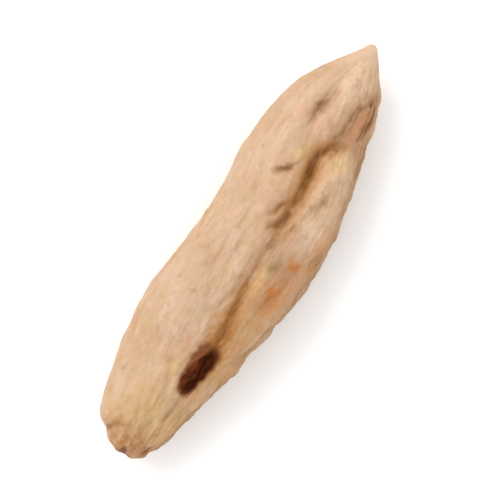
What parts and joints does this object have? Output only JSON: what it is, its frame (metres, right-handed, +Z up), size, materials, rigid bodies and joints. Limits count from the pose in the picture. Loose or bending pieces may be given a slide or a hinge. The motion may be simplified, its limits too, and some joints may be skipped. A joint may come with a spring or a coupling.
{
  "type": "dried ophiopogon root",
  "caption": "Dried ophiopogon root: a cream-brown spindle tuber with a long crease, a dark pit near its blunt end and a pointed tip.",
  "frame": {"origin": "centre of the bounding box at its bottom, on the surface the root rests on, inside the small level spot of its belly", "axes": "+X along the root from the blunt end to the pointed tip, +Y towards the broad lobe, +Z up out of the side with the crease and the pit"},
  "size_m": [0.0248, 0.0073, 0.0051],
  "materials": {
    "root_skin": "dry, satin to matt, wrinkled skin"
  },
  "bodies": {
    "root": {"ophiopogon_root": "root_skin"}
  },
  "joints": []
}
